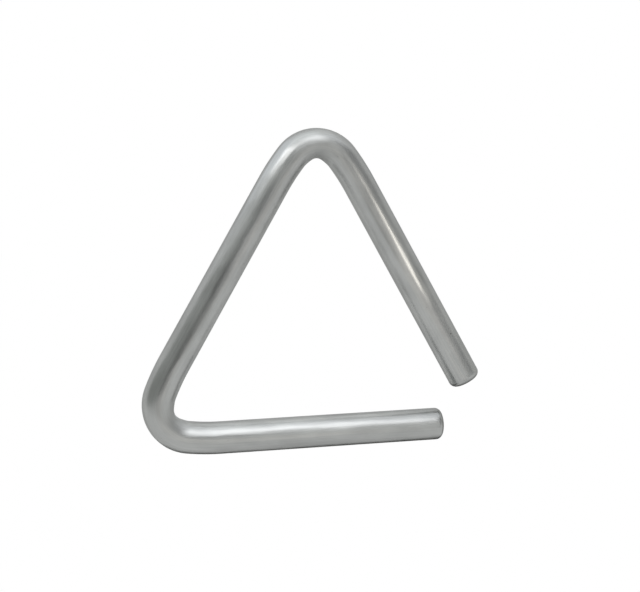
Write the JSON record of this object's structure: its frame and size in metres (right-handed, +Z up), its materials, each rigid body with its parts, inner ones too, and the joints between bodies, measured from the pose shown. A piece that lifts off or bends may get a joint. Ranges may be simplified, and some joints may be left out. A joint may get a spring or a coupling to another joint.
{
  "type": "percussion triangle",
  "caption": "Open percussion triangle bent from solid round steel bar, with rounded bends and rounded free ends. It hangs by its top bend and rings when struck.",
  "frame": {"origin": "the point inside the top bend where the hanging loop bears", "axes": "+Z up as it hangs, +X along the level base leg from the closed corner to the open one, front facing -Y"},
  "size_m": [0.1018, 0.0098, 0.0942],
  "materials": {
    "satin_steel": "satin, drawn along the bar"
  },
  "bodies": {
    "root": {"triangle_rod": "satin_steel"}
  },
  "joints": []
}
